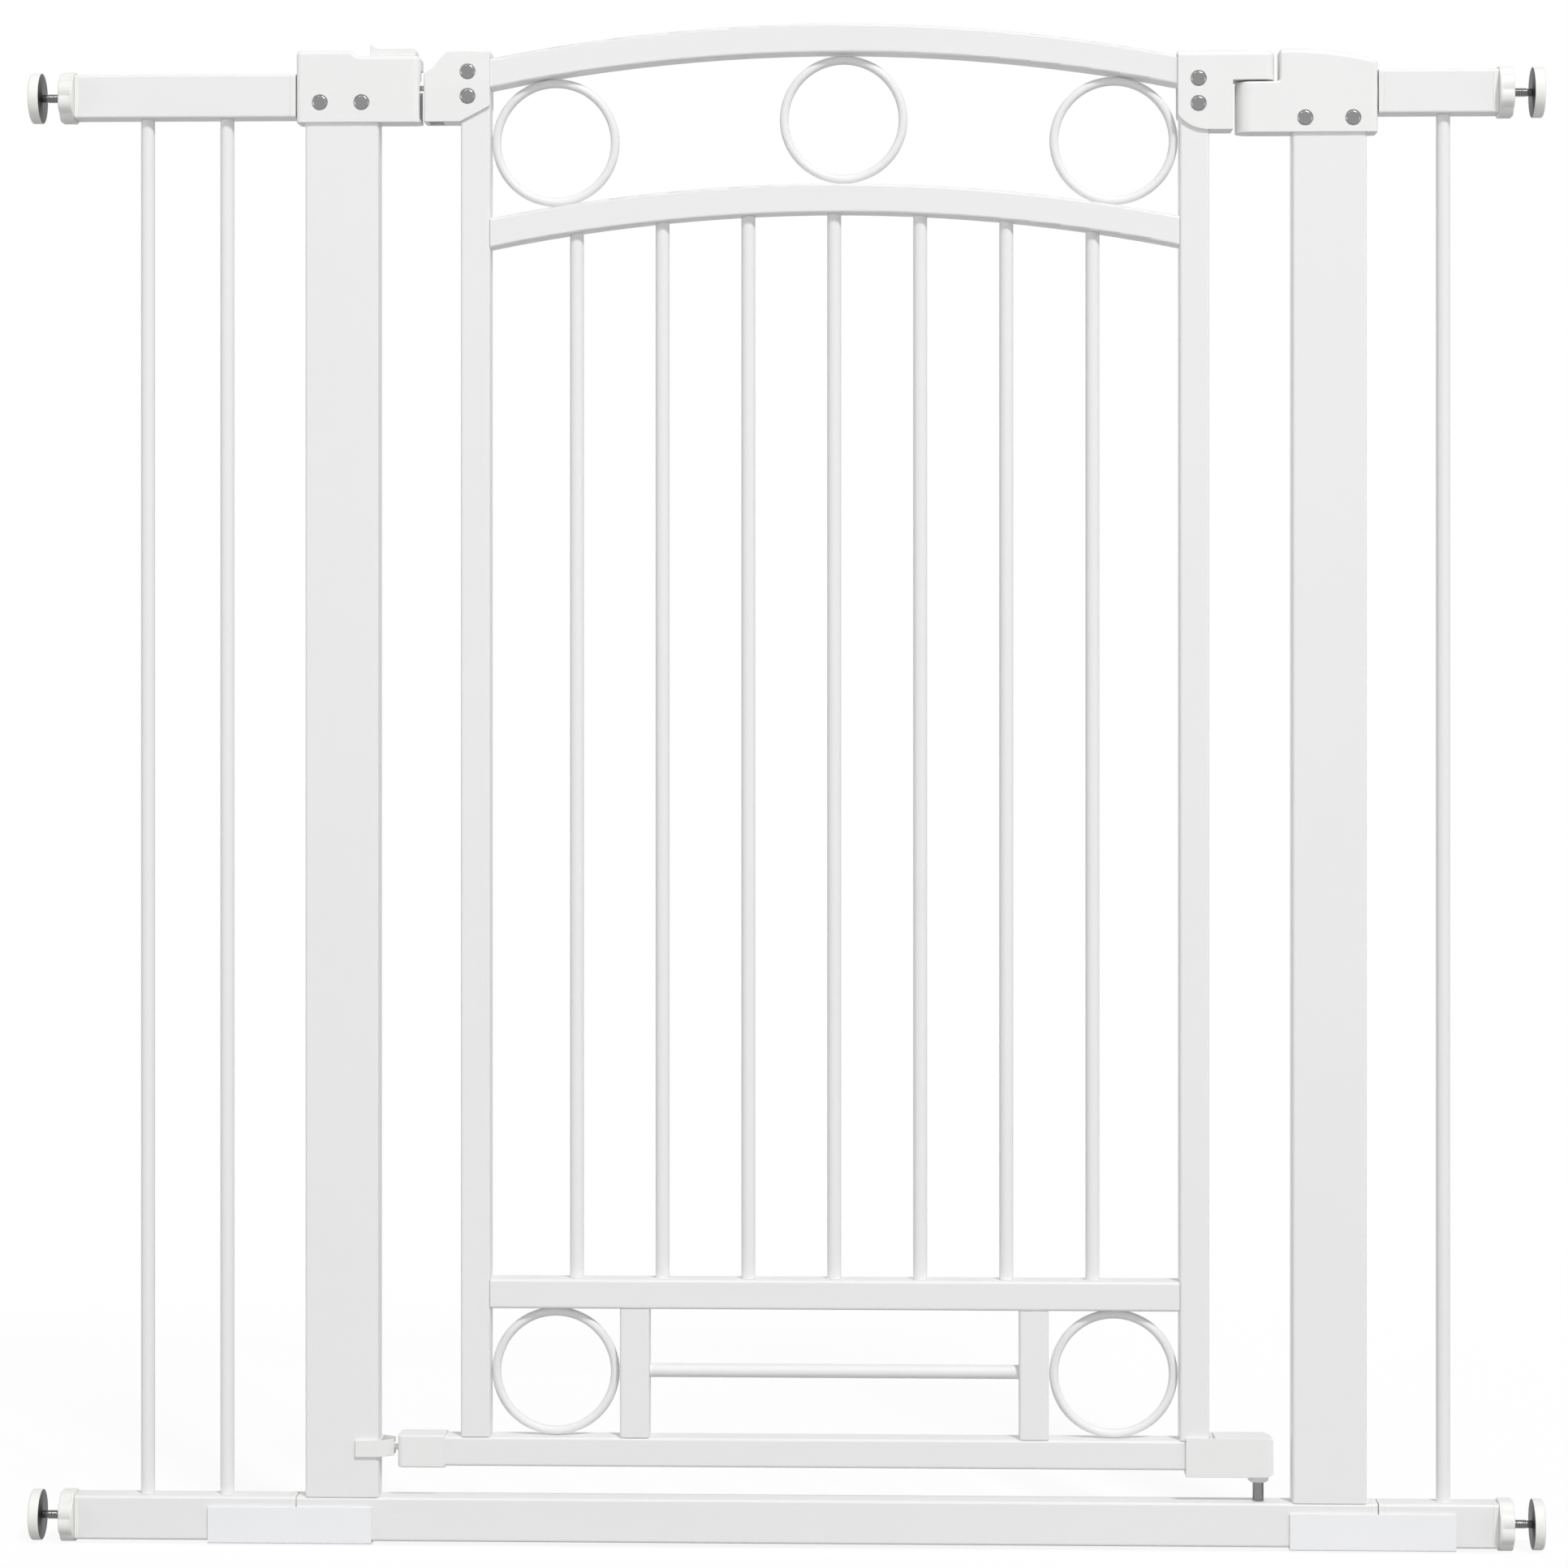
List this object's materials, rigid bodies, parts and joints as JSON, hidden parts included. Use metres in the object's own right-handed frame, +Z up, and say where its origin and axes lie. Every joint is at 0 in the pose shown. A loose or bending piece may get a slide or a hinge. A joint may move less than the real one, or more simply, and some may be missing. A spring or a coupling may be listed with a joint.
{
  "type": "safety baby gate",
  "caption": "Pressure-fit safety gate for a doorway: arched swing door in a tubular frame, with side extensions, a lift-and-slide latch and screw-out wall pads.",
  "frame": {"origin": "on the floor, in the middle of the gate's width and depth", "axes": "+X across the doorway towards the hinge side, +Z up, -Y towards the viewer; the door opens away, towards +Y"},
  "size_m": [1.0266, 0.0356, 1.0326],
  "materials": {
    "white_steel": "white powder coat, fine grain, satin",
    "white_plastic": "white moulded plastic, fine spark texture",
    "channel_plastic": "cool white moulded plastic, smooth",
    "rivet_steel": "satin steel rivet heads",
    "zinc_steel": "dark zinc-plated steel",
    "pad_rubber": "off-white soft rubber, matte",
    "spring_steel": "bright spring steel"
  },
  "bodies": {
    "frame": {"bottom_rail": "white_steel", "latch_post": "white_steel", "hinge_post": "white_steel", "latch_housing": "white_plastic", "hinge_housing": "white_plastic", "housing_rivets": "rivet_steel", "lower_catch": "white_plastic", "lower_hinge_pin": "zinc_steel", "hinge_spring": "spring_steel", "rail_end_ring": "white_plastic", "left_bars": "white_steel", "right_bar": "white_steel", "left_joiner_channel": "channel_plastic", "right_joiner_channel": "channel_plastic", "slider_spring": "spring_steel", "left_top_tube": "white_steel", "left_top_joint_insert": "white_plastic", "left_top_end_plug": "white_plastic", "left_bottom_tube": "white_steel", "left_bottom_joint_insert": "white_plastic", "left_bottom_end_plug": "white_plastic", "right_top_tube": "white_steel", "right_top_joint_insert": "white_plastic", "right_top_end_plug": "white_plastic", "right_bottom_tube": "white_steel", "right_bottom_joint_insert": "white_plastic", "right_bottom_end_plug": "white_plastic"},
    "upper_pin": {"upper_hinge_pin": "zinc_steel"},
    "door": {"door_latch_post": "white_steel", "door_hinge_post": "white_steel", "top_arch_rail": "white_steel", "middle_arch_rail": "white_steel", "lower_middle_rail": "white_steel", "door_bottom_rail": "white_steel", "left_short_post": "white_steel", "right_short_post": "white_steel", "cross_bar": "white_steel", "door_bars": "white_steel", "arch_rings": "white_steel", "foot_rings": "white_steel", "latch_bracket": "white_plastic", "hinge_bracket": "white_plastic", "bracket_rivets": "rivet_steel", "latch_end_cap": "white_plastic", "catch_pin": "white_steel", "lower_hinge_bracket": "white_plastic", "lower_hinge_bush": "white_plastic"},
    "lock_slider": {"lock_slider": "white_plastic"},
    "left_top_wheel": {"left_top_hand_wheel": "white_plastic"},
    "left_top_spindle": {"left_top_spindle": "zinc_steel", "left_top_wall_pad": "pad_rubber"},
    "left_bottom_wheel": {"left_bottom_hand_wheel": "white_plastic"},
    "left_bottom_spindle": {"left_bottom_spindle": "zinc_steel", "left_bottom_wall_pad": "pad_rubber"},
    "right_top_wheel": {"right_top_hand_wheel": "white_plastic"},
    "right_top_spindle": {"right_top_spindle": "zinc_steel", "right_top_wall_pad": "pad_rubber"},
    "right_bottom_wheel": {"right_bottom_hand_wheel": "white_plastic"},
    "right_bottom_spindle": {"right_bottom_spindle": "zinc_steel", "right_bottom_wall_pad": "pad_rubber"}
  },
  "joints": [
    {"name": "door_swing", "type": "hinge", "parent": "frame", "child": "upper_pin", "pos_m": [0.3217, 0, 0.98], "axis": [0, 0, -1], "range_deg": [0, 90], "stiffness_Nm_per_rad": 1.2, "springref_deg": -28.65},
    {"name": "door_lift", "type": "slide", "parent": "upper_pin", "child": "door", "axis": [0, 0, 1], "range_m": [0, 0.01]},
    {"name": "lock_slide", "type": "slide", "parent": "frame", "child": "lock_slider", "axis": [-1, 0, 0], "range_m": [0, 0.006], "stiffness_N_per_m": 300, "springref_m": -0.004, "deforming": ["slider_spring"]},
    {"name": "left_top_wheel_turn", "type": "hinge", "parent": "frame", "child": "left_top_wheel", "pos_m": [-0.4825, 0, 0.985], "axis": [-1, 0, 0], "range_deg": [-7200, 4320]},
    {"name": "left_top_spindle_slide", "type": "slide", "parent": "frame", "child": "left_top_spindle", "axis": [-1, 0, 0], "range_m": [-0.012, 0.02]},
    {"name": "left_bottom_wheel_turn", "type": "hinge", "parent": "frame", "child": "left_bottom_wheel", "pos_m": [-0.4825, 0, 0.0178], "axis": [-1, 0, 0], "range_deg": [-7200, 4320]},
    {"name": "left_bottom_spindle_slide", "type": "slide", "parent": "frame", "child": "left_bottom_spindle", "axis": [-1, 0, 0], "range_m": [-0.012, 0.02]},
    {"name": "right_top_wheel_turn", "type": "hinge", "parent": "frame", "child": "right_top_wheel", "pos_m": [0.4829, 0, 0.985], "axis": [1, 0, 0], "range_deg": [-7200, 4320]},
    {"name": "right_top_spindle_slide", "type": "slide", "parent": "frame", "child": "right_top_spindle", "axis": [1, 0, 0], "range_m": [-0.012, 0.02]},
    {"name": "right_bottom_wheel_turn", "type": "hinge", "parent": "frame", "child": "right_bottom_wheel", "pos_m": [0.4829, 0, 0.0178], "axis": [1, 0, 0], "range_deg": [-7200, 4320]},
    {"name": "right_bottom_spindle_slide", "type": "slide", "parent": "frame", "child": "right_bottom_spindle", "axis": [1, 0, 0], "range_m": [-0.012, 0.02]}
  ],
  "couplings": [
    {"joint": "left_top_wheel_turn", "follows": "left_top_spindle_slide", "rad_per_m": -6283.2},
    {"joint": "left_bottom_wheel_turn", "follows": "left_bottom_spindle_slide", "rad_per_m": -6283.2},
    {"joint": "right_top_wheel_turn", "follows": "right_top_spindle_slide", "rad_per_m": -6283.2},
    {"joint": "right_bottom_wheel_turn", "follows": "right_bottom_spindle_slide", "rad_per_m": -6283.2}
  ]
}
